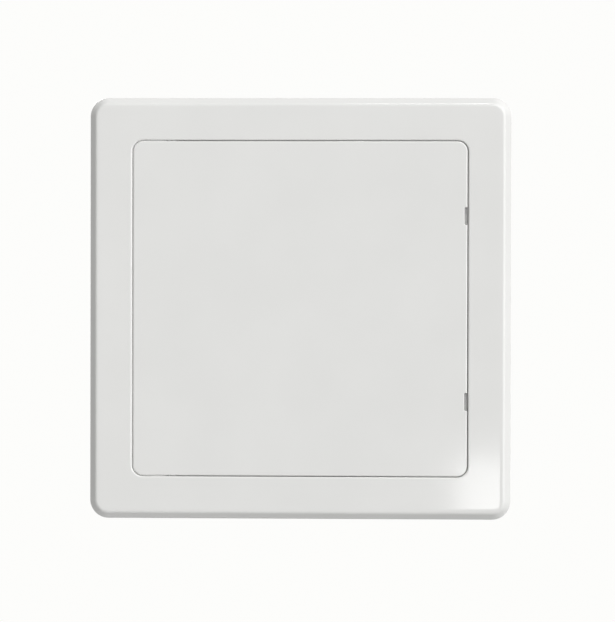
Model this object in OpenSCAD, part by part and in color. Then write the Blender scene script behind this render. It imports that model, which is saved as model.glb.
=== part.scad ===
// Square plastic access panel for a ceiling or wall opening: a flanged frame with a collar,
// a flush door on two hinge pins, and two spring latches that snap behind the frame's ledge.
// The panel stands upright as it is seen from the room: the face looks along -Y, and the
// origin is the centre of the opening on the surface that the flange sits on.

/* [Door] */
// Width of the door leaf
door_w = 198.4; // [160:0.1:400]
// Height of the door leaf
door_h = 198.6; // [180:0.1:400]
// Gap on the hinge side and the latch side of the door
door_gap = 0.5; // [0.5:0.1:1.2]
// Gap above and below the door
end_gap = 0.4; // [0.4:0.1:1.2]
// Thickness of the door's face plate
door_t = 2.0; // [1.8:0.1:2.6]
// Corner radius of the door leaf
door_corner_r = 6; // [4.5:0.5:12]
// Rounding of the door's front edge
edge_r = 0.8; // [0.4:0.1:1]
// Thickness of the rim that runs round the back of the door
rim_t = 2.0; // [1.5:0.1:3]
// Height of that rim behind the face plate
rim_h = 8; // [6:0.5:9]
// Thickness of the stiffening ribs on the back of the door
door_rib_t = 1.6; // [1.2:0.1:2.5]
// Height of the stiffening ribs on the back of the door
door_rib_h = 5; // [3:0.5:6]
// Largest distance between the door's upright ribs
door_rib_pitch = 55; // [35:1:80]

/* [Frame] */
// Width of the flange that shows round the opening
flange_w = 25.3; // [22:0.1:40]
// Height of the flange's face above the ceiling surface
flange_h = 5.5; // [5:0.1:7]
// Outer corner radius of the flange
frame_corner_r = 11; // [10:0.5:20]
// Width of the bevel round the flange, seen from the front
bevel_w = 3.7; // [3:0.1:4]
// Height of the upright edge below the bevel
rim_land = 0.9; // [0.5:0.1:2]
// Rounding of the crest above the bevel
crest_r = 2.4; // [0.5:0.1:2.5]
// Distance from the outer edge to the shoulder where the face starts to fall away
shoulder_w = 6.0; // [6:0.1:7]
// Fall of the face between shoulder and crest, in degrees
shoulder_slope = 3.5; // [2:0.5:4]
// Rounding of that shoulder
shoulder_r = 30; // [10:1:30]
// Rounding of the opening's front edge
mouth_r = 1.0; // [0.4:0.1:1.5]
// Wall thickness of the flange and the collar
wall = 2.5; // [2:0.1:3]
// Width of the flange's bearing rim on the ceiling
seat_w = 4.6; // [4:0.1:7]
// Depth of the collar behind the ceiling surface
collar_depth = 25; // [22:1:60]
// Width of the ledge that stops the door
ledge_w = 4.2; // [3.5:0.1:6]
// Thickness of that ledge
ledge_t = 2.2; // [1.8:0.1:3]
// Thickness of the ribs inside the flange
flange_rib_t = 1.6; // [1.2:0.1:2.5]
// Largest distance between those ribs
flange_rib_pitch = 30; // [20:1:60]
// Radius of the fixing screw holes in the collar
fixing_hole_r = 2.25; // [1.5:0.05:2.75]
// Distance between the two fixing holes on each side
fixing_spacing = 120; // [60:1:130]
// Depth of the fixing holes behind the ceiling surface
fixing_depth = 16; // [14:0.5:18]

/* [Hinge] */
// Depth of the hinge axis behind the door's face
hinge_depth = 4.6; // [4.6:0.1:5.2]
// Radius of the hinge pins
pin_r = 1.5; // [1.2:0.05:1.8]
// Radius of the hinge pins' heads
pin_head_r = 2.0; // [1.9:0.1:2]
// Thickness of the hinge pins' heads
pin_head_t = 1.4; // [1:0.1:2]
// Length of the knuckles on the door
knuckle_l = 17; // [12:0.5:25]
// Outer radius of the knuckles
knuckle_r = 3.8; // [3.2:0.1:4.2]

/* [Latches] */
// Distance between the two latches
latch_spacing = 110; // [90:1:130]
// Length of the pry notches in the door's edge
notch_l = 10.4; // [8:0.1:14]
// Depth of the pry notches
notch_d = 1.7; // [1.2:0.1:2.5]
// Rounding of the notches' front edges
notch_edge_r = 0.5; // [0.3:0.1:0.7]
// Length of the latch bolts' bodies
bolt_l = 20; // [16:0.5:26]
// Width of the latch bolts' bodies
bolt_w = 12; // [11:0.5:16]
// Thickness of the latch bolts
bolt_t = 6; // [5:0.1:7]
// Width of the latch bolts' noses
nose_w = 9; // [6:0.5:10]
// Reach of the noses behind the frame's ledge
nose_reach = 2.7; // [1.5:0.1:3]
// Travel of the latch bolts
bolt_travel = 4; // [3:0.1:5]
// Wall thickness of the latch housings on the door
housing_t = 2.0; // [1.5:0.1:2.5]
// Thickness of the latch covers
cover_t = 1.6; // [1.2:0.1:2.5]
// Outer radius of the latch springs
spring_r = 1.8; // [1.4:0.1:1.9]
// Wire radius of the latch springs
spring_wire_r = 0.25; // [0.15:0.05:0.3]
// Turns of the latch springs
spring_turns = 7; // [5:1:10]
// Radius of the cover screws' shanks
screw_r = 1.2; // [1:0.05:1.5]

/* [Seal] */
// Thickness of the foam seal on the ledge
seal_t = 1.6; // [1:0.1:2.5]
// Width of the foam seal
seal_w = 3; // [2:0.1:3.4]

/* [Hidden] */
$fn = 64;

// Clearances between pieces
soft_gap = 0.3;
swing_gap = 0.15;
rim_gap = 0.8;
slide_gap = 0.25;
stop_gap = 0.3;
pin_fit = 0.02;
knuckle_fit = 0.08;
knuckle_play = 0.3;
screw_fit = 0.05;
overlap = 0.5;
least_corner_r = 0.5;

// Overall sizes, worked outwards from the door
opening_w = door_w + 2 * door_gap;
opening_h = door_h + 2 * end_gap;
opening_corner_r = door_corner_r + door_gap;
frame_w = opening_w + 2 * flange_w;
frame_h = opening_h + 2 * flange_w;

// Heights above the ceiling surface, towards the room; the void behind it is negative
face = flange_h;
door_back = face - door_t;
seal_front = door_back - soft_gap;
ledge_front = seal_front - seal_t;
ledge_back = ledge_front - ledge_t;
bolt_front = ledge_back - stop_gap;
bolt_back = bolt_front - bolt_t;
bolt_mid = (bolt_front + bolt_back) / 2;
cover_front = bolt_back - slide_gap;
cover_back = cover_front - cover_t;
rim_back = door_back - rim_h;
hinge_level = face - hinge_depth;

// Hinge: the axis lies just far enough from the door's edge that the edge, which swings on a
// circle round the axis, stays clear of the opening
swing_room = door_gap - swing_gap;
edge_depth = hinge_depth - edge_r;
hinge_setback = edge_r + (edge_depth * edge_depth - swing_room * swing_room) / (2 * swing_room);
hinge_x = hinge_setback - door_w / 2;
knuckle_end = opening_h / 2 - knuckle_play;
thrust_wall = 1.05;
thrust_r = pin_r + thrust_wall;
knuckle_floor = 1.5;
knuckle_room = 0.5;
ledge_start = hinge_x + knuckle_r + knuckle_room;
pin_tip = 1;
pin_point = 0.5;
pin_tip_r = pin_r - pin_point;
pin_end = knuckle_end - knuckle_l + knuckle_floor + stop_gap;

// Door edge, door rim and the ledge's inner edge
band_corner_r = 2;
door_band = door_corner_r - band_corner_r;
ledge_inner_w = opening_w - 2 * ledge_w;
ledge_inner_h = opening_h - 2 * ledge_w;
rim_w = ledge_inner_w - 2 * rim_gap;
rim_len = ledge_inner_h - 2 * rim_gap;
rim_corner_r = 3;
skirt_inset = 0.25;
skirt_end_gap = 0.25;

// Frame bands: the bevelled rim follows the outer corners, the collar follows the opening's
rim_band = frame_corner_r - band_corner_r;
collar_band_w = 3;
collar_band = wall + collar_band_w;
rib_relief = 0.4;
rib_end_clear = 4;
lead_in = 1.0;
lead_in_h = 3;
sink_depth = wall / 2;

// Seal on the ledge
seal_edge_gap = 0.1;

// Latch: places along the door's width, from the middle of the panel
rim_face_x = rim_w / 2;
rim_inner_x = rim_face_x - rim_t;
nose_tip_x = ledge_inner_w / 2 + nose_reach;
bolt_front_x = rim_inner_x - stop_gap;
bolt_rear_x = bolt_front_x - bolt_l;
nose_tip_t = 1.6;
spring_fit = 0.2;
pocket_r = spring_r + spring_fit;
pocket_l = 12;
spring_rear_clear = 2;
housing_rear_x = bolt_rear_x - bolt_travel - spring_rear_clear;
bed_level = bolt_front + slide_gap;
housing_half = bolt_w / 2 + slide_gap;
boss_wall = 1.8;
boss_r = screw_r + boss_wall;
boss_z = housing_half + housing_t + boss_r - overlap;
boss_x = (housing_rear_x + rim_inner_x) / 2;
screw_hole_r = screw_r + screw_fit;
screw_l = 7;
screw_tip = 0.8;
screw_head_r = 2.4;
screw_head_t = 1.6;
screw_crown_r = 1.7;
screw_slot_w = 0.7;
screw_slot_d = 0.8;
cover_hole_gap = 0.3;
cover_hole_r = screw_r + cover_hole_gap;
bed_rib_t = 1.4;
bed_rib_z = bolt_w / 4;
notch_corner_r = 0.8;

// Finishes
white_plastic = [0.88, 0.88, 0.87];
natural_plastic = [0.80, 0.80, 0.77];
grey_foam = [0.77, 0.77, 0.76];
steel = [0.72, 0.73, 0.74];

function unit(v) = v / norm(v);

// Outline helpers

// The sliver that rounds a polygon's convex corner "at" to radius r when it is cut away
module corner_cut(before, at, after, r) {
    to_before = unit(before - at);
    to_after = unit(after - at);
    inwards = unit(to_before + to_after);
    half = acos(to_before * to_after) / 2;
    centre = at + inwards * r / sin(half);
    difference() {
        polygon([at + to_before * r / tan(half), centre, at + to_after * r / tan(half), at - inwards * r]);
        translate(centre) circle(r);
    }
}

module rounded_square(w, h, r) {
    difference() {
        square([w, h], center = true);
        for (sx = [-1, 1], sy = [-1, 1])
            corner_cut([0, sy * h / 2], [sx * w / 2, sy * h / 2], [sx * w / 2, 0], r);
    }
}

// A flat ring of the given width, inside a rounded square
module rounded_ring(w, h, r, width) {
    difference() {
        rounded_square(w, h, r);
        rounded_square(w - 2 * width, h - 2 * width, max(r - width, least_corner_r));
    }
}

// Carries a profile round a rounded square: u is the distance outside the square, v the height
module carry_round(w, h, r) {
    for (i = [0:3]) {
        across = i % 2 == 0 ? w : h;
        along = i % 2 == 0 ? h : w;
        rotate(90 * i) {
            translate([across / 2, 0, 0])
                rotate([90, 0, 0])
                    linear_extrude(along - 2 * r, center = true) children();
            translate([across / 2 - r, along / 2 - r, 0])
                rotate_extrude(angle = 90) translate([r, 0]) children();
        }
    }
}

// A flat piece between two heights
module slab(low, high) {
    translate([0, 0, low]) linear_extrude(high - low) children();
}

// Stands the flat-lying model upright, with its face towards the room
module upright() {
    rotate([90, 0, 0]) children();
}

// Evenly spaced places from -reach to reach, no further apart than pitch
function spaced(reach, pitch) =
    let (n = ceil(2 * reach / pitch))
    [for (i = [0:n]) -reach + 2 * reach * i / n];

// Frame

module rim_profile() {
    outer_foot = [0, 0];
    bevel_foot = [0, rim_land];
    crest = [-bevel_w, face - (shoulder_w - bevel_w) * tan(shoulder_slope)];
    shoulder = [-shoulder_w, face];
    inner_face = [-rim_band, face];
    difference() {
        polygon([
            outer_foot, bevel_foot, crest, shoulder, inner_face,
            [-rim_band, face - wall], [-seat_w, face - wall], [-seat_w, 0]
        ]);
        corner_cut(bevel_foot, crest, shoulder, crest_r);
        corner_cut(crest, shoulder, inner_face, shoulder_r);
    }
}

module collar_profile() {
    opening_edge = [0, face];
    flange_side = [collar_band, face];
    rear = [0, -collar_depth];
    difference() {
        polygon([
            rear, opening_edge, flange_side, [collar_band, face - wall], [wall, face - wall],
            [wall, lead_in_h - collar_depth], [wall - lead_in, -collar_depth]
        ]);
        corner_cut(rear, opening_edge, flange_side, mouth_r);
    }
}

// The flat ring between a rounded square inside the outer edge and one outside the opening
module flange_ring(rim_side, collar_side) {
    difference() {
        rounded_square(frame_w - 2 * rim_side, frame_h - 2 * rim_side, frame_corner_r - rim_side);
        rounded_square(opening_w + 2 * collar_side, opening_h + 2 * collar_side,
                       opening_corner_r + collar_side);
    }
}

module flange_ribs() {
    rib_reach_x = -hinge_x - pin_head_r - rib_end_clear;
    rib_reach_y = opening_h / 2 - opening_corner_r - rib_end_clear;
    intersection() {
        flange_ring(seat_w - overlap, wall - overlap);
        union() {
            for (x = spaced(rib_reach_x, flange_rib_pitch))
                translate([x, 0]) square([flange_rib_t, frame_h], center = true);
            for (y = spaced(rib_reach_y, flange_rib_pitch))
                translate([0, y]) square([frame_w, flange_rib_t], center = true);
            for (sx = [-1, 1], sy = [-1, 1])
                translate([sx * (opening_w / 2 - opening_corner_r), sy * (opening_h / 2 - opening_corner_r)])
                    rotate(45 * sx * sy) square([4 * flange_w, flange_rib_t], center = true);
        }
    }
}

module ledge_outline(inset, width) {
    intersection() {
        rounded_ring(opening_w - 2 * inset, opening_h - 2 * inset, opening_corner_r - inset, width);
        translate([ledge_start, -frame_h / 2]) square([frame_w, frame_h]);
    }
}

module fixing_holes() {
    for (i = [0:3]) {
        across = i % 2 == 0 ? opening_w : opening_h;
        for (s = [-1, 1])
            rotate(90 * i)
                translate([across / 2, s * fixing_spacing / 2, -fixing_depth]) rotate([0, 90, 0]) {
                    translate([0, 0, -overlap]) cylinder(r = fixing_hole_r, h = wall + 2 * overlap);
                    translate([0, 0, -overlap])
                        cylinder(r1 = fixing_hole_r + sink_depth + overlap, r2 = fixing_hole_r,
                                 h = sink_depth + overlap);
                }
    }
}

module hinge_holes() {
    for (s = [-1, 1])
        translate([hinge_x, s * (opening_h + wall) / 2, hinge_level])
            rotate([90, 0, 0]) cylinder(r = pin_r + pin_fit, h = 2 * wall, center = true);
}

module frame() {
    color(white_plastic) upright() difference() {
        union() {
            carry_round(frame_w, frame_h, frame_corner_r) rim_profile();
            carry_round(opening_w, opening_h, opening_corner_r) collar_profile();
            slab(face - wall, face) flange_ring(rim_band - overlap, collar_band - overlap);
            slab(rib_relief, face - wall + overlap) flange_ribs();
            slab(ledge_back, ledge_front) ledge_outline(-overlap, ledge_w + overlap);
        }
        fixing_holes();
        hinge_holes();
    }
}

module door_seal() {
    color(grey_foam) upright() slab(ledge_front, seal_front) ledge_outline(seal_edge_gap, seal_w);
}

// Hinge pins, one at the top and one at the bottom of the hinge side

module hinge_pin(side) {
    head_face = opening_h / 2 + wall;
    color(steel) upright() mirror([0, side < 0 ? 1 : 0, 0])
        translate([hinge_x, 0, hinge_level]) rotate([-90, 0, 0]) rotate_extrude() polygon([
            [0, pin_end], [pin_tip_r, pin_end], [pin_r, pin_end + pin_tip], [pin_r, head_face],
            [pin_head_r, head_face], [pin_head_r, head_face + pin_head_t], [0, head_face + pin_head_t]
        ]);
}

// Door

module door_edge_profile() {
    front = [0, face];
    back = [0, door_back];
    inner = [-door_band, face];
    difference() {
        polygon([back, front, inner, [-door_band, door_back]]);
        corner_cut(back, front, inner, edge_r);
    }
}

module door_plate() {
    carry_round(door_w, door_h, door_corner_r) door_edge_profile();
    slab(door_back, face)
        rounded_square(door_w - 2 * door_band, door_h - 2 * door_band, door_corner_r - door_band);
}

// Upright ribs, a level rib in the middle, and one from the hinge side to each latch
module door_ribs() {
    reach_x = (rim_w - rim_t) / 2;
    reach_y = (rim_len - rim_t) / 2;
    latch_rib_l = reach_x + housing_rear_x - housing_t / 2;
    for (x = spaced(reach_x, door_rib_pitch))
        translate([x, 0]) square([door_rib_t, 2 * reach_y], center = true);
    square([2 * reach_x, door_rib_t], center = true);
    for (s = [-1, 1])
        translate([-reach_x, s * latch_spacing / 2 - door_rib_t / 2]) square([latch_rib_l, door_rib_t]);
}

// A low skirt along the hinge side, as far as the ledge's ends, where the frame has no ledge
module hinge_skirt() {
    intersection() {
        rounded_ring(door_w - 2 * skirt_inset, door_h - 2 * skirt_inset, door_corner_r - skirt_inset, rim_t);
        translate([-door_w, -door_h]) square([ledge_start - skirt_end_gap + door_w, 2 * door_h]);
    }
}

module pry_notch() {
    translate([door_w / 2, 0, 0]) {
        slab(door_back - overlap, face + overlap) rounded_square(2 * notch_d, notch_l, notch_corner_r);
        carry_round(2 * notch_d, notch_l, notch_corner_r)
            corner_cut([door_t, face], [0, face], [0, door_back], notch_edge_r);
    }
}

// A knuckle with a thrust boss on its end and a web to the rim at its root
module knuckle(side) {
    root = knuckle_end - knuckle_l;
    web_x = rim_t / 2 - rim_face_x;
    mirror([0, side < 0 ? 1 : 0, 0]) {
        translate([hinge_x, root, hinge_level]) rotate([-90, 0, 0]) {
            cylinder(r = knuckle_r, h = door_h / 2 - root);
            cylinder(r = thrust_r, h = knuckle_l);
        }
        slab(hinge_level, door_back + overlap)
            translate([web_x, root]) square([hinge_x - web_x, door_rib_t]);
    }
}

module knuckle_bore(side) {
    mirror([0, side < 0 ? 1 : 0, 0])
        translate([hinge_x, pin_end - stop_gap, hinge_level]) rotate([-90, 0, 0])
            cylinder(r = pin_r + knuckle_fit, h = knuckle_l);
}

// The box on the back of the door that guides one latch bolt, open towards the cover
module latch_housing() {
    length = rim_face_x - housing_rear_x + housing_t;
    translate([housing_rear_x - housing_t, 0, 0]) {
        slab(cover_front, door_back + overlap) difference() {
            translate([0, -housing_half - housing_t])
                square([length, 2 * (housing_half + housing_t)]);
            translate([housing_t, -housing_half])
                square([length - housing_t - rim_t, 2 * housing_half]);
        }
        slab(bed_level, door_back + overlap)
            for (s = [-1, 1])
                translate([0, s * bed_rib_z - bed_rib_t / 2]) square([length - overlap, bed_rib_t]);
    }
    slab(cover_front, door_back + overlap)
        for (s = [-1, 1]) translate([boss_x, s * boss_z]) circle(boss_r);
}

module latch_housing_cuts() {
    nose_half = nose_w / 2 + slide_gap;
    translate([rim_inner_x - overlap, -nose_half, cover_front - overlap])
        cube([rim_t + 2 * overlap, 2 * nose_half, bed_level - cover_front + overlap]);
    for (s = [-1, 1])
        translate([boss_x, s * boss_z, cover_front - overlap])
            cylinder(r = screw_hole_r, h = screw_l + 2 * overlap);
}

module at_latches() {
    for (s = [-1, 1]) translate([0, s * latch_spacing / 2, 0]) children();
}

module door() {
    color(white_plastic) upright() difference() {
        union() {
            door_plate();
            slab(rim_back, door_back + overlap) rounded_ring(rim_w, rim_len, rim_corner_r, rim_t);
            slab(hinge_level, door_back + overlap) hinge_skirt();
            slab(door_back - door_rib_h, door_back + overlap) door_ribs();
            for (side = [-1, 1]) knuckle(side);
            at_latches() latch_housing();
        }
        for (side = [-1, 1]) knuckle_bore(side);
        at_latches() {
            pry_notch();
            latch_housing_cuts();
        }
    }
}

// Latches, each described at the middle of its own housing

module at_latch(side) {
    upright() translate([0, side * latch_spacing / 2, 0]) children();
}

module latch_bolt(side) {
    nose_root_x = ledge_inner_w / 2;
    color(natural_plastic) at_latch(side) difference() {
        union() {
            slab(bolt_back, bolt_front)
                translate([bolt_rear_x, -bolt_w / 2]) square([bolt_l, bolt_w]);
            rotate([90, 0, 0]) linear_extrude(nose_w, center = true) polygon([
                [bolt_front_x - overlap, bolt_back], [nose_root_x, bolt_back],
                [nose_tip_x, bolt_mid - nose_tip_t / 2], [nose_tip_x, bolt_mid + nose_tip_t / 2],
                [nose_root_x, bolt_front], [bolt_front_x - overlap, bolt_front]
            ]);
        }
        translate([bolt_rear_x - overlap, 0, bolt_mid]) rotate([0, 90, 0])
            cylinder(r = pocket_r, h = pocket_l + overlap);
    }
}

// A closed-end compression spring: rings of wire swept along a helix whose first and last
// turns lie close together
spring_sides = 6;
spring_steps = 12;
spring_closed_gap = 0.05;

function spring_lift(turn, length) =
    let (
        wire = 2 * spring_wire_r + spring_closed_gap,
        open_turns = spring_turns - 2,
        open_pitch = (length - 2 * spring_wire_r - 2 * wire) / open_turns
    )
    turn < 1 ? turn * wire
    : turn > spring_turns - 1 ? wire + open_turns * open_pitch + (turn - spring_turns + 1) * wire
    : wire + (turn - 1) * open_pitch;

module latch_spring(side) {
    start_x = housing_rear_x;
    length = bolt_rear_x + pocket_l - start_x;
    coil_r = spring_r - spring_wire_r;
    count = spring_turns * spring_steps;
    points = [
        for (i = [0:count], k = [0:spring_sides - 1])
            let (
                turn = i / spring_steps,
                along = start_x + spring_wire_r + spring_lift(turn, length),
                around = 360 * turn,
                about = 360 * k / spring_sides,
                radius = coil_r + spring_wire_r * cos(about)
            )
            [along + spring_wire_r * sin(about), radius * cos(around), bolt_mid + radius * sin(around)]
    ];
    walls = [
        for (i = [0:count - 1], k = [0:spring_sides - 1])
            let (next = (k + 1) % spring_sides, here = i * spring_sides, there = here + spring_sides)
            each [[here + k, here + next, there + next], [here + k, there + next, there + k]]
    ];
    first_end = [for (k = [spring_sides - 1:-1:0]) k];
    last_end = [for (k = [0:spring_sides - 1]) count * spring_sides + k];
    color(steel) at_latch(side) polyhedron(points, concat(walls, [first_end, last_end]));
}

module latch_cover(side) {
    rear_x = housing_rear_x - housing_t;
    half = housing_half + housing_t;
    color(natural_plastic) at_latch(side) slab(cover_back, cover_front) difference() {
        union() {
            translate([rear_x, -half]) square([rim_inner_x - rear_x, 2 * half]);
            for (s = [-1, 1]) translate([boss_x, s * boss_z]) circle(boss_r);
        }
        for (s = [-1, 1]) translate([boss_x, s * boss_z]) circle(cover_hole_r);
    }
}

module latch_screws(side) {
    color(steel) at_latch(side) for (s = [-1, 1])
        translate([boss_x, s * boss_z, cover_back]) difference() {
            rotate_extrude() polygon([
                [0, -screw_head_t], [screw_crown_r, -screw_head_t],
                [screw_head_r, -screw_head_t / 2], [screw_head_r, 0], [screw_r, 0],
                [screw_r, screw_l - screw_tip], [screw_r / 2, screw_l], [0, screw_l]
            ]);
            translate([0, 0, -screw_head_t]) {
                cube([2 * screw_head_r, screw_slot_w, 2 * screw_slot_d], center = true);
                cube([screw_slot_w, 2 * screw_head_r, 2 * screw_slot_d], center = true);
            }
        }
}

frame();
door();
door_seal();
hinge_pin(1);  // hinge_pin_upper
hinge_pin(-1);  // hinge_pin_lower
latch_bolt(1);  // latch_bolt_upper
latch_bolt(-1);  // latch_bolt_lower
latch_spring(1);  // latch_spring_upper
latch_spring(-1);  // latch_spring_lower
latch_cover(1);  // latch_cover_upper
latch_cover(-1);  // latch_cover_lower
latch_screws(1);  // latch_screws_upper
latch_screws(-1);  // latch_screws_lower
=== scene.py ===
"""A square white access panel, dressed and lit: frame, door, seal, hinge pins and snap latches.

Lengths are in metres in the part's own frame: +X to the latch side, +Z up, and the face looks
along -Y. Pieces that the solids only outline are worked out here as whole grids of points.
"""
import math

import bpy
import numpy as np
from mathutils import Matrix, Vector


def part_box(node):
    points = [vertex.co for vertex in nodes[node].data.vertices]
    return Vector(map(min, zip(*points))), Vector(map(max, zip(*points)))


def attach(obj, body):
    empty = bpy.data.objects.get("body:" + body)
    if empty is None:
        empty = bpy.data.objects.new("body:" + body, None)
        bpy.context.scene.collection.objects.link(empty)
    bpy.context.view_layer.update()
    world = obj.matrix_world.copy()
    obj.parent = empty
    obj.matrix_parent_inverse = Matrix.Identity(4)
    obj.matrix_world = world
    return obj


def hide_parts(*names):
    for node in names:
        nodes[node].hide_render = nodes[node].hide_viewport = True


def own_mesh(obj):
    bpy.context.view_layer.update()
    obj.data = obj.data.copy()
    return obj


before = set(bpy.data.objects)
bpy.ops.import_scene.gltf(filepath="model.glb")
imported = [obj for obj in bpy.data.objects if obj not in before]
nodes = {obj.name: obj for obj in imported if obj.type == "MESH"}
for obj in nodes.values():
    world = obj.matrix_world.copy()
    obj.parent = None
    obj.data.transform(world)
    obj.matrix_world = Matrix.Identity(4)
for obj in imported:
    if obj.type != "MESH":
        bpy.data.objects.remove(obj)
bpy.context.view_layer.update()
scene = bpy.context.scene
MM = 0.001
SIDES = ("upper", "lower")


# Meshes from whole arrays

def full_turn(count):
    """Equal angles once round, from 0 up to the last before a full turn."""
    return np.linspace(0, 2 * np.pi, count, endpoint=False)


def grid_quads(rows, cols):
    """Quads of a grid of rows by cols points: each joins a point, its neighbour in the row, and
    the two points after them in the next row. The last column meets the first."""
    r = np.arange(rows - 1)[:, None]
    c = np.arange(cols)[None, :]
    after = (c + 1) % cols
    corners = np.broadcast_arrays(r * cols + c, r * cols + after,
                                  (r + 1) * cols + after, (r + 1) * cols + c)
    return np.stack(corners, -1).reshape(-1, 4)


def tube_faces(rows, cols):
    """Faces of a closed tube: its wall of quads, and one flat face over the first and last ring."""
    first_end = np.arange(cols)[::-1]
    last_end = (rows - 1) * cols + np.arange(cols)
    return grid_quads(rows, cols).tolist() + [first_end.tolist(), last_end.tolist()]


def repeated(points, faces, copies):
    """The faces of several equal shells whose points follow each other, one shell after another."""
    return [[i + k * points for i in face] for k in range(copies) for face in faces]


def signed_volume(points, faces):
    """Volume inside the faces: the sum over each face's fan of triangles of their tetrahedra to
    the origin. It is negative when the faces look inwards."""
    fan = np.array([(f[0], f[i], f[i + 1]) for f in faces for i in range(1, len(f) - 1)])
    a, b, c = points[fan[:, 0]], points[fan[:, 1]], points[fan[:, 2]]
    return np.einsum("ij,ij->i", a, np.cross(b, c)).sum() / 6


def make_piece(name, points, faces, finish, body, stands_for=()):
    """Puts an array of points and its faces into a smooth mesh that rides on a body."""
    points = np.asarray(points, float).reshape(-1, 3)
    if signed_volume(points - points.mean(0), faces) < 0:
        faces = [face[::-1] for face in faces]
    mesh = bpy.data.meshes.new(name)
    mesh.from_pydata(points.tolist(), [], faces)
    mesh.polygons.foreach_set("use_smooth", np.ones(len(mesh.polygons), bool))
    mesh.materials.append(finish)
    mesh.update()
    piece = bpy.data.objects.new(name, mesh)
    scene.collection.objects.link(piece)
    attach(piece, body)
    if stands_for:
        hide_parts(*stands_for)
    return piece


def flat_and_round(piece):
    """Weights a piece's normals by face area, so that flats stay flat beside small roundings."""
    weigh = piece.modifiers.new("weighted normals", "WEIGHTED_NORMAL")
    weigh.mode = "FACE_AREA"
    weigh.keep_sharp = False
    weigh.weight = 50


def ease(x):
    """Smooth step: 0 below 0, 1 above 1, and 3x^2 - 2x^3 between."""
    x = np.clip(x, 0, 1)
    return x * x * (3 - 2 * x)


# Finishes: building blocks

NOISE_LOW = 0.3
NOISE_HIGH = 0.7


def new_finish(name):
    """An empty node material: its tree, its shader and the Object coordinates of the surface."""
    finish = bpy.data.materials.new(name)
    finish.use_nodes = True
    tree = finish.node_tree
    shader = tree.nodes["Principled BSDF"]
    place = tree.nodes.new("ShaderNodeTexCoord").outputs["Object"]
    return finish, tree, shader, place


def noise(tree, place, scale, detail=2, roughness=0.5):
    """Noise of about 1/scale metres, read on Object coordinates."""
    node = tree.nodes.new("ShaderNodeTexNoise")
    node.inputs["Scale"].default_value = scale
    node.inputs["Detail"].default_value = detail
    node.inputs["Roughness"].default_value = roughness
    tree.links.new(place, node.inputs["Vector"])
    return node.outputs["Fac"]


def ranged(tree, value, low, high, to_low, to_high):
    """The value between low and high, carried to the span from to_low to to_high."""
    node = tree.nodes.new("ShaderNodeMapRange")
    node.inputs["From Min"].default_value = low
    node.inputs["From Max"].default_value = high
    node.inputs["To Min"].default_value = to_low
    node.inputs["To Max"].default_value = to_high
    tree.links.new(value, node.inputs["Value"])
    return node.outputs["Result"]


def spread(tree, value, to_low, to_high):
    """A noise's usual span, carried to the span from to_low to to_high."""
    return ranged(tree, value, NOISE_LOW, NOISE_HIGH, to_low, to_high)


def arithmetic(tree, operation, a, b=0):
    """Two values added, multiplied or compared, or the first alone without its sign; each is a
    number or another node's output."""
    node = tree.nodes.new("ShaderNodeMath")
    node.operation = operation
    for socket, value in zip(node.inputs, (a, b)):
        if isinstance(value, (int, float)):
            socket.default_value = value
        else:
            tree.links.new(value, socket)
    return node.outputs["Value"]


def tinted(tree, value, dark, light):
    """A colour that goes from dark to light over a noise's usual span."""
    ramp = tree.nodes.new("ShaderNodeValToRGB")
    ramp.color_ramp.elements[0].position = NOISE_LOW
    ramp.color_ramp.elements[0].color = (*dark, 1)
    ramp.color_ramp.elements[1].position = NOISE_HIGH
    ramp.color_ramp.elements[1].color = (*light, 1)
    tree.links.new(value, ramp.inputs["Fac"])
    return ramp.outputs["Color"]


def seen_directly(tree):
    """1 where the camera, a reflection or a see-through surface looks, and 0 where light is
    gathered."""
    path = tree.nodes.new("ShaderNodeLightPath").outputs
    mirrored = arithmetic(tree, "MAXIMUM", path["Is Glossy Ray"], path["Is Transmission Ray"])
    return arithmetic(tree, "MAXIMUM", path["Is Camera Ray"], mirrored)


def relief(tree, shader, heights):
    """Stacks bumps of (height output, depth in metres, strength) on a shader's normal."""
    normal = None
    for height, depth, strength in heights:
        bump = tree.nodes.new("ShaderNodeBump")
        bump.inputs["Distance"].default_value = depth
        bump.inputs["Strength"].default_value = strength
        tree.links.new(height, bump.inputs["Height"])
        if normal is not None:
            tree.links.new(normal, bump.inputs["Normal"])
        normal = bump.outputs["Normal"]
    tree.links.new(normal, shader.inputs["Normal"])


# Finishes: tints are from dark to light, roughness is from low to high

WHITE_TINTS = ((0.785, 0.785, 0.772), (0.805, 0.805, 0.792))
FRONT_ROUGHNESS = (0.065, 0.085)
CORE_ROUGHNESS = (0.20, 0.32)
CORE_FROM_Y = (-4.2 * MM, -3.6 * MM)
BEVEL_FROM = (119.5 * MM, 120.5 * MM)
PEEL_DEPTH = 0.004 * MM
EROSION_DEPTH = 0.02 * MM


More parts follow.
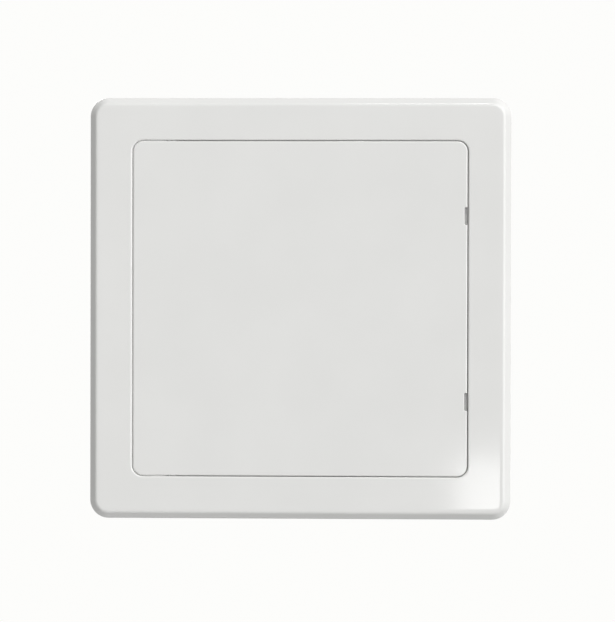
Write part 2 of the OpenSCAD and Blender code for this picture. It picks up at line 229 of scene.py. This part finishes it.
def white_plastic_finish():
    """Moulded white plastic: glossy with a faint orange peel in front and on the outer bevel, and
    the fine spark-eroded grain of the tool's core on the back."""
    finish, tree, shader, place = new_finish("white_plastic_moulded")
    cloud = noise(tree, place, scale=22)
    peel = noise(tree, place, scale=420)
    grain = noise(tree, place, scale=5200)
    apart = tree.nodes.new("ShaderNodeSeparateXYZ")
    tree.links.new(place, apart.inputs["Vector"])
    out_x = arithmetic(tree, "ABSOLUTE", apart.outputs["X"])
    out_z = arithmetic(tree, "ABSOLUTE", apart.outputs["Z"])
    out = arithmetic(tree, "MAXIMUM", out_x, out_z)
    behind_face = ranged(tree, apart.outputs["Y"], *CORE_FROM_Y, 0, 1)
    inside_bevel = ranged(tree, out, *BEVEL_FROM, 1, 0)
    behind = arithmetic(tree, "MULTIPLY", behind_face, inside_bevel)
    tree.links.new(tinted(tree, cloud, *WHITE_TINTS), shader.inputs["Base Color"])
    front_rough = spread(tree, peel, *FRONT_ROUGHNESS)
    core_rough = arithmetic(tree, "MULTIPLY", spread(tree, grain, *CORE_ROUGHNESS), behind)
    rough = arithmetic(tree, "ADD", front_rough, core_rough)
    tree.links.new(rough, shader.inputs["Roughness"])
    eroded = arithmetic(tree, "MULTIPLY", grain, behind)
    relief(tree, shader, [(peel, PEEL_DEPTH, 0.2), (eroded, EROSION_DEPTH, 0.5)])
    return finish


ACETAL_TINTS = ((0.70, 0.69, 0.63), (0.76, 0.755, 0.70))
ACETAL_ROUGHNESS = (0.34, 0.46)
ACETAL_GLOW = 0.12
ACETAL_GLOW_REACH = (1.2 * MM, 1.1 * MM, 0.9 * MM)
ACETAL_GRAIN_DEPTH = 0.015 * MM


def natural_plastic_finish():
    """Natural acetal: off-white, waxy, with faint flow clouds and a fine dull grain."""
    finish, tree, shader, place = new_finish("natural_acetal")
    flow = noise(tree, place, scale=160, detail=4, roughness=0.6)
    grain = noise(tree, place, scale=4200)
    tree.links.new(tinted(tree, flow, *ACETAL_TINTS), shader.inputs["Base Color"])
    tree.links.new(spread(tree, grain, *ACETAL_ROUGHNESS), shader.inputs["Roughness"])
    shader.inputs["Subsurface Weight"].default_value = ACETAL_GLOW
    shader.inputs["Subsurface Radius"].default_value = ACETAL_GLOW_REACH
    shader.inputs["Subsurface Scale"].default_value = 1.0
    relief(tree, shader, [(grain, ACETAL_GRAIN_DEPTH, 0.4)])
    return finish


FOAM_TINTS = ((0.44, 0.44, 0.435), (0.54, 0.54, 0.535))
FOAM_ROUGHNESS = (0.95, 0.8)
FOAM_CELL_EDGE = 0.7
# Share of painted shade: how much the colour darkens towards each cell's hollow middle
FOAM_PAINTED_CELL_SHADE = 0.4
FOAM_CLOUD_SHARE = 0.6
FOAM_CELL_DEPTH = 0.12 * MM
FOAM_CLOUD_DEPTH = 0.1 * MM


def foam_finish():
    """Closed-cell foam: matt, with small open cells cut on its faces, rougher in their middles. Its
    colour is a cloudy tone, with painted shade that darkens the cells' hollow middles.
    """
    finish, tree, shader, place = new_finish("closed_cell_foam")
    cells = tree.nodes.new("ShaderNodeTexVoronoi")
    cells.inputs["Scale"].default_value = 2600
    tree.links.new(place, cells.inputs["Vector"])
    cell = cells.outputs["Distance"]
    cloud = noise(tree, place, scale=500, detail=3)
    # Painted shade: the colour darkens towards each cell's middle, where the bump sinks it into a
    # hollow; the cloud adds the foam's own uneven tone
    painted_cell_shade = arithmetic(tree, "MULTIPLY", cell, FOAM_PAINTED_CELL_SHADE)
    cloud_tone = arithmetic(tree, "MULTIPLY", cloud, FOAM_CLOUD_SHARE)
    tone_and_painted_shade = arithmetic(tree, "ADD", painted_cell_shade, cloud_tone)
    tree.links.new(tinted(tree, tone_and_painted_shade, *FOAM_TINTS), shader.inputs["Base Color"])
    rough = ranged(tree, cell, 0, FOAM_CELL_EDGE, *FOAM_ROUGHNESS)
    tree.links.new(rough, shader.inputs["Roughness"])
    shader.inputs["Specular IOR Level"].default_value = 0.2
    relief(tree, shader, [(cell, FOAM_CELL_DEPTH, 0.7), (cloud, FOAM_CLOUD_DEPTH, 0.3)])
    return finish


ZINC_TINTS = ((0.58, 0.59, 0.60), (0.68, 0.69, 0.70))
ZINC_ROUGHNESS = (0.22, 0.38)
ZINC_GRAIN_DEPTH = 0.006 * MM


def zinc_finish():
    """Bright zinc plate on steel: metal with a faint bluish cast, a fine grain and dulled spots."""
    finish, tree, shader, place = new_finish("bright_zinc_steel")
    spots = noise(tree, place, scale=900, detail=4, roughness=0.6)
    grain = noise(tree, place, scale=6500)
    shader.inputs["Metallic"].default_value = 1.0
    tree.links.new(tinted(tree, spots, *ZINC_TINTS), shader.inputs["Base Color"])
    tree.links.new(spread(tree, spots, *ZINC_ROUGHNESS), shader.inputs["Roughness"])
    relief(tree, shader, [(grain, ZINC_GRAIN_DEPTH, 0.4)])
    return finish


white_plastic = white_plastic_finish()
natural_plastic = natural_plastic_finish()
foam = foam_finish()
zinc_steel = zinc_finish()


# The solids that keep their own shape: a finish, and on all but the door a small edge radius

JOIN_WITHIN = 0.001 * MM
FLAT_WITHIN = math.radians(0.5)
SHARP_FROM = math.radians(35)
EDGE_STEPS = 2


def dress(name, finish):
    """Gives a node its finish in every material slot."""
    for place in nodes[name].material_slots:
        place.material = finish


def soften(name, finish, radius):
    """Joins a node's loose triangles and flat facets, and rounds its sharp edges."""
    node = nodes[name]
    dress(name, finish)
    join = node.modifiers.new("joined points", "WELD")
    join.merge_threshold = JOIN_WITHIN
    flats = node.modifiers.new("joined flats", "DECIMATE")
    flats.decimate_type = "DISSOLVE"
    flats.angle_limit = FLAT_WITHIN
    edge = node.modifiers.new("edge radius", "BEVEL")
    edge.width = radius
    edge.segments = EDGE_STEPS
    edge.limit_method = "ANGLE"
    edge.angle_limit = SHARP_FROM
    edge.use_clamp_overlap = False
    edge.miter_outer = "MITER_ARC"
    flat_and_round(node)


soften("frame", white_plastic, 0.2 * MM)
dress("door", white_plastic)
for side in SIDES:
    soften(f"hinge_pin_{side}", zinc_steel, 0.2 * MM)
    soften(f"latch_bolt_{side}", natural_plastic, 0.3 * MM)
    soften(f"latch_cover_{side}", natural_plastic, 0.2 * MM)


# Latch springs

SPRING_TURNS = 7
WIRE_R = 0.25 * MM
TURN_STEPS = 40
WIRE_SIDES = 12
COIL_TOUCH = 0.05 * MM
GROUND_SHARE = 0.5
OPEN_EASE = 0.35


def spring_points(low, high):
    """A compression spring along X. Along its turns t the wire's middle goes round a circle while
    its pitch eases from touching coils to an open pitch and back; round the wire each point is the
    middle plus the wire's radius outwards and along X, and the ends are ground flat."""
    t = np.linspace(0, SPRING_TURNS, SPRING_TURNS * TURN_STEPS + 1)
    opening = ease((t - 1 + OPEN_EASE / 2) / OPEN_EASE)
    closing = ease((SPRING_TURNS - 1 + OPEN_EASE / 2 - t) / OPEN_EASE)
    opened = opening * closing
    closed_pitch = 2 * WIRE_R + COIL_TOUCH
    step = t[1] - t[0]
    inset = WIRE_R * GROUND_SHARE
    run = high[0] - low[0] - 2 * inset
    share = (opened[1:] + opened[:-1]) / 2
    open_pitch = (run - closed_pitch * SPRING_TURNS) / (share.sum() * step)
    lift = np.concatenate([[0], np.cumsum((closed_pitch + open_pitch * share) * step)])
    coil_r = (high[2] - low[2]) / 2 - WIRE_R
    about = full_turn(WIRE_SIDES)[None, :]
    turn = 2 * np.pi * t[:, None]
    radius = coil_r + WIRE_R * np.cos(about)
    wire_x = low[0] + inset + lift[:, None] + WIRE_R * np.sin(about)
    x = np.clip(wire_x, low[0], high[0])
    y = (low[1] + high[1]) / 2 + radius * np.sin(turn)
    z = (low[2] + high[2]) / 2 + radius * np.cos(turn)
    return np.stack([x, y, z], -1)


for side in SIDES:
    low, high = (np.array(corner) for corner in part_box(f"latch_spring_{side}"))
    coil = spring_points(low, high)
    spring = make_piece(f"latch_spring_coil_{side}", coil, tube_faces(*coil.shape[:2]), zinc_steel,
                        "door", [f"latch_spring_{side}"])
    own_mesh(spring)


# Cover screws

SCREW_ROUND = 96
HEAD_RINGS = 44
SHANK_RINGS = 150
HEAD_R = 2.4 * MM
HEAD_T = 1.6 * MM
HEAD_MIDDLE = 0.02
CORE_R = 0.92 * MM
THREAD_R = 1.2 * MM
THREAD_PITCH = 0.9 * MM
TIP_L = 0.9 * MM
TIP_SHARE = 0.12
RECESS_D = 0.95 * MM
RECESS_ARM = 1.3 * MM
RECESS_HALF = 0.34 * MM
RECESS_WALL = 0.14 * MM
PAN = 0.7


def recess_arm(across, along):
    """1 inside one arm of the cross, 0 outside it, and a straight slope over its walls and ends."""
    wide = np.clip((RECESS_HALF + RECESS_WALL / 2 - abs(across)) / RECESS_WALL, 0, 1)
    far = np.clip((RECESS_ARM - abs(along)) / (2 * RECESS_WALL), 0, 1)
    return wide * far


def screw_points(x, z, tip_y, head_y):
    """A pan-head screw along Y. From the head's middle out, radius and height follow a rounded
    quarter curve; a cross of two arms is pressed into it. Under the head the radius is a core plus
    a ridge that climbs one pitch each time round, and it shrinks to the tip."""
    round_angle = full_turn(SCREW_ROUND)[None, :]
    seat_y = head_y - HEAD_T
    bend = np.linspace(HEAD_MIDDLE, np.pi / 2, HEAD_RINGS)
    head_r = HEAD_R * np.sin(bend) ** PAN
    head_h = HEAD_T * np.cos(bend).clip(0) ** PAN
    u = head_r[:, None] * np.cos(round_angle)
    v = head_r[:, None] * np.sin(round_angle)
    pressed = head_h[:, None] - RECESS_D * np.maximum(recess_arm(u, v), recess_arm(v, u))
    head = np.stack([x + u, seat_y + pressed, z + v], -1)
    down = np.linspace(0, seat_y - tip_y, SHANK_RINGS)[:, None]
    ridge = np.abs(((down / THREAD_PITCH - round_angle / (2 * np.pi)) % 1) * 2 - 1)
    thread = (THREAD_R - CORE_R) * ridge ** 2 * ease(down / THREAD_PITCH)
    shrink = np.clip((seat_y - tip_y - down) / TIP_L, TIP_SHARE, 1)
    shank_r = (CORE_R + thread) * shrink
    shank = np.stack([x + shank_r * np.cos(round_angle), seat_y - down + 0 * round_angle,
                      z + shank_r * np.sin(round_angle)], -1)
    return np.concatenate([head, shank])


for side in SIDES:
    low, high = (np.array(corner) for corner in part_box(f"latch_screws_{side}"))
    middle_x = (low[0] + high[0]) / 2
    screw_zs = (low[2] + HEAD_R, high[2] - HEAD_R)
    pair = np.stack([screw_points(middle_x, z, low[1], high[1]) for z in screw_zs])
    shell = tube_faces(*pair.shape[1:3])
    pair_faces = repeated(pair[0].size // 3, shell, len(screw_zs))
    make_piece(f"latch_screw_pair_{side}", pair, pair_faces, zinc_steel,
               "door", [f"latch_screws_{side}"])


# Foam seal

SEAL_CORNER_R = 6.4 * MM
SEAL_W = 3.0 * MM
SEAL_ROUND = 6
SEAL_SIDES = 36
SEAL_LEVEL_STEPS = 170
SEAL_UPRIGHT_STEPS = 190
SEAL_CORNER_STEPS = 16
SEAL_WAVE = 0.05 * MM
SHORT_WAVE = 260
LONG_WAVE = 97
LONG_WAVE_START = 1


def squared(wave):
    """A sine or cosine pushed towards 1 and -1, which makes a squared oval out of a circle."""
    return np.sign(wave) * np.abs(wave) ** (2 / SEAL_ROUND)


def seal_points(low, high):
    """A strip along the top, the latch side and the bottom of the ledge. Its middle line is two
    level runs, an upright run and two quarter circles between them; across it the section is a
    squared oval, whose front face sinks and rises by two sine waves along the strip."""
    middle_r = SEAL_CORNER_R - SEAL_W / 2
    corner_x = high[0] - SEAL_CORNER_R
    corner_z = high[2] - SEAL_CORNER_R
    run_x = np.linspace(low[0], corner_x, SEAL_LEVEL_STEPS, endpoint=False)
    run_z = np.linspace(corner_z, -corner_z, SEAL_UPRIGHT_STEPS)[1:-1]
    quarter = np.linspace(np.pi / 2, 0, SEAL_CORNER_STEPS)
    bend_x = corner_x + middle_r * np.cos(quarter)
    bend_z = corner_z + middle_r * np.sin(quarter)
    upright_x = np.full(run_z.size, corner_x + middle_r)
    level_z = np.full(run_x.size, corner_z + middle_r)
    along_x = np.concatenate([run_x, bend_x, upright_x, bend_x[::-1], run_x[::-1]])
    along_z = np.concatenate([level_z, bend_z, run_z, -bend_z[::-1], -level_z])
    upwards = np.full(run_x.size, np.pi / 2)
    outwards = np.zeros(run_z.size)
    facing = np.concatenate([upwards, quarter, outwards, -quarter[::-1], -upwards])[:, None]
    about = full_turn(SEAL_SIDES)[None, :]
    across = SEAL_W / 2 * squared(np.cos(about))
    depth = squared(np.sin(about))
    length = np.concatenate([[0], np.cumsum(np.hypot(np.diff(along_x), np.diff(along_z)))])
    waves = np.sin(length * SHORT_WAVE) + np.sin(length * LONG_WAVE + LONG_WAVE_START)
    front = low[1] + SEAL_WAVE * (2 + waves[:, None]) / 4
    y = (front + high[1]) / 2 + (high[1] - front) / 2 * depth
    x = along_x[:, None] + across * np.cos(facing)
    z = along_z[:, None] + across * np.sin(facing)
    return np.stack([x, y, z], -1)


strip = seal_points(*(np.array(corner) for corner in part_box("door_seal")))
make_piece("door_seal_strip", strip, tube_faces(*strip.shape[:2]), foam, "frame", ["door_seal"])


# Marks of the moulds on the hidden faces: the ends of their ejector pins, and the door's gate

MARK_ROUND = 48


def turned_marks(centres, base_y, outline):
    """Round marks on a face that looks along +Y: each ring of the outline, a radius and a height
    over the face, is a circle round the mark's centre. Centres and outline are in millimetres."""
    angle = full_turn(MARK_ROUND)
    radius = np.array([r for r, h in outline])[None, :, None] * MM
    height = np.array([h for r, h in outline])[None, :, None] * MM
    middle = np.array(centres)[:, :, None, None] * MM
    x, y, z = np.broadcast_arrays(middle[:, 0] + radius * np.cos(angle), base_y + height,
                                  middle[:, 1] + radius * np.sin(angle))
    return np.stack([x, y, z], -1)


def add_marks(name, centres, base_y, outline, body):
    """One piece of equal marks, each a closed shell whose foot is sunk in the face."""
    points = turned_marks(centres, base_y, outline)
    shell = tube_faces(*points.shape[1:3])
    faces = repeated(points[0].size // 3, shell, len(centres))
    piece = make_piece(name, points, faces, white_plastic, body)
    flat_and_round(piece)


PLATE_BACK_Y = -3.5 * MM
FLANGE_BACK_Y = -3.0 * MM
FLANGE_MIDDLE = 111.3
PIN_MARK = [(2.5, -0.3), (2.5, 0.08), (2.42, 0.14), (2.26, 0.15), (2.16, 0.09), (0.9, 0.09)]
GATE_MARK = [(1.7, -0.3), (1.7, 0.2), (1.55, 0.3), (1.2, 0.38), (1.05, 0.9), (0.85, 1.05),
             (0.3, 0.98)]
door_marks = [(x, z) for x in (-70, -23.4, 23.4) for z in (-74, -27.5, 27.5, 74)]
door_marks += [(70, -27.5), (70, 27.5)]
gate_marks = [(7, 7)]
flange_marks = [(x, s * FLANGE_MIDDLE) for x in (-57.6, 0, 57.6) for s in (-1, 1)]
flange_marks += [(s * FLANGE_MIDDLE, z) for z in (-74.3, -14.9, 14.9, 74.3) for s in (-1, 1)]
add_marks("door_ejector_marks", door_marks, PLATE_BACK_Y, PIN_MARK, "door")
add_marks("door_gate_mark", gate_marks, PLATE_BACK_Y, GATE_MARK, "door")
add_marks("frame_ejector_marks", flange_marks, FLANGE_BACK_Y, PIN_MARK, "frame")


# Floor: a pale round sheet well below the panel, which thins out into the white surroundings

FLOOR_Z = -0.30
FLOOR_R = 1.15
FLOOR_SIDES = 96
FLOOR_FADE = (0.65, 1.0)
FLOOR_LIFT = 0.45
FLOOR_TINTS = ((0.70, 0.70, 0.70), (0.72, 0.72, 0.72))


def floor_finish():
    """Pale paper that keeps the shadow: mostly its own shading, lifted towards white where it is
    seen, and see-through towards its rim and from below."""
    finish, tree, shader, place = new_finish("pale_floor")
    shader.inputs["Roughness"].default_value = 0.9
    shader.inputs["Specular IOR Level"].default_value = 0.1
    fibre = noise(tree, place, scale=60, detail=4)
    tree.links.new(tinted(tree, fibre, *FLOOR_TINTS), shader.inputs["Base Color"])
    shader.inputs["Emission Color"].default_value = (1, 1, 1, 1)
    lift = arithmetic(tree, "MULTIPLY", seen_directly(tree), FLOOR_LIFT)
    tree.links.new(lift, shader.inputs["Emission Strength"])
    reach = tree.nodes.new("ShaderNodeVectorMath")
    reach.operation = "LENGTH"
    tree.links.new(place, reach.inputs[0])
    inside_rim = ranged(tree, reach.outputs["Value"], *FLOOR_FADE, 1, 0)
    underside = tree.nodes.new("ShaderNodeNewGeometry").outputs["Backfacing"]
    topside = arithmetic(tree, "SUBTRACT", 1, underside)
    thinned = arithmetic(tree, "MULTIPLY", inside_rim, topside)
    tree.links.new(thinned, shader.inputs["Alpha"])
    return finish


rim = full_turn(FLOOR_SIDES)
rim_points = np.stack([FLOOR_R * np.cos(rim), FLOOR_R * np.sin(rim), FLOOR_Z + 0 * rim], -1)
floor_mesh = bpy.data.meshes.new("floor")
floor_mesh.from_pydata(rim_points.tolist(), [], [list(range(FLOOR_SIDES))])
floor_mesh.materials.append(floor_finish())
floor = bpy.data.objects.new("floor", floor_mesh)
floor.visible_diffuse = False
floor.visible_shadow = False
scene.collection.objects.link(floor)


# Light: an even white surround, a soft key from the upper right, and lamps for edges and back

SURROUND_COLOUR = (1.0, 1.0, 0.985, 1)
SURROUND_SEEN = 0.98
SURROUND_FILL = 0.265


def white_surround():
    """White where the camera or a reflection sees it, and a plain grey level as light."""
    world = bpy.data.worlds.new("surround")
    world.use_nodes = True
    tree = world.node_tree
    back = tree.nodes["Background"]
    back.inputs["Color"].default_value = SURROUND_COLOUR
    level = ranged(tree, seen_directly(tree), 0, 1, SURROUND_FILL, SURROUND_SEEN)
    tree.links.new(level, back.inputs["Strength"])
    scene.world = world


def hang_lamp(lamp, place, ray):
    """Hangs a lamp at a place so that it shines along a ray."""
    holder = bpy.data.objects.new(lamp.name, lamp)
    holder.location = place
    holder.rotation_euler = Vector(ray).to_track_quat("-Z", "Y").to_euler()
    holder.visible_camera = False
    scene.collection.objects.link(holder)


def soft_lamp(name, place, aim, size, power, shape="DISK"):
    """A round or square soft lamp at a place, turned to a point."""
    lamp = bpy.data.lights.new(name, "AREA")
    lamp.shape = shape
    lamp.size = size
    lamp.energy = power
    hang_lamp(lamp, place, np.subtract(aim, place))


def far_lamp(name, towards, spread_deg, power):
    """A large soft lamp so far away that it lights every part of the panel alike."""
    lamp = bpy.data.lights.new(name, "SUN")
    lamp.angle = math.radians(spread_deg)
    lamp.energy = power
    hang_lamp(lamp, towards, np.negative(towards))


white_surround()
far_lamp("key", towards=(0.607, -0.678, 0.414), spread_deg=74, power=2.70)
soft_lamp("high_light", place=(0.095, -0.49, 1.33), aim=(0.095, 0, 0.122), size=0.25, power=1.9)
soft_lamp("low_reflector", place=(0.165, -2.0, -0.267), aim=(0.165, 0, -0.267), size=0.13,
          power=0.345, shape="SQUARE")
far_lamp("bounce", towards=(0, -0.35, -0.94), spread_deg=60, power=0.28)
soft_lamp("back", place=(-0.7, 1.3, 0.9), aim=(0, 0, 0), size=0.8, power=15)


# Camera: fitted to the four corners of the frame's outer edge

FOCAL_PX = 3367.8
LONG_SIDE_PX = 622
SENSOR_W = 36
CAMERA_PLACE = (0.0871, -2.0, 0.0244)
YAW = math.radians(-2.369)
PITCH = math.radians(-0.739)
ROLL = math.radians(0.119)
camera_data = bpy.data.cameras.new("camera")
camera_data.sensor_width = SENSOR_W
camera_data.lens = FOCAL_PX / LONG_SIDE_PX * SENSOR_W
camera = bpy.data.objects.new("camera", camera_data)
ahead = np.array([math.sin(YAW) * math.cos(PITCH), math.cos(YAW) * math.cos(PITCH), math.sin(PITCH)])
level = np.array([math.cos(YAW), -math.sin(YAW), 0])
rise = np.cross(level, ahead)
right = level * math.cos(ROLL) + rise * math.sin(ROLL)
up = rise * math.cos(ROLL) - level * math.sin(ROLL)
stance = np.eye(4)
stance[:3] = np.stack([right, up, -ahead, CAMERA_PLACE], -1)
camera.matrix_world = Matrix(stance.tolist())
scene.collection.objects.link(camera)
scene.camera = camera

scene.view_settings.view_transform = "Standard"
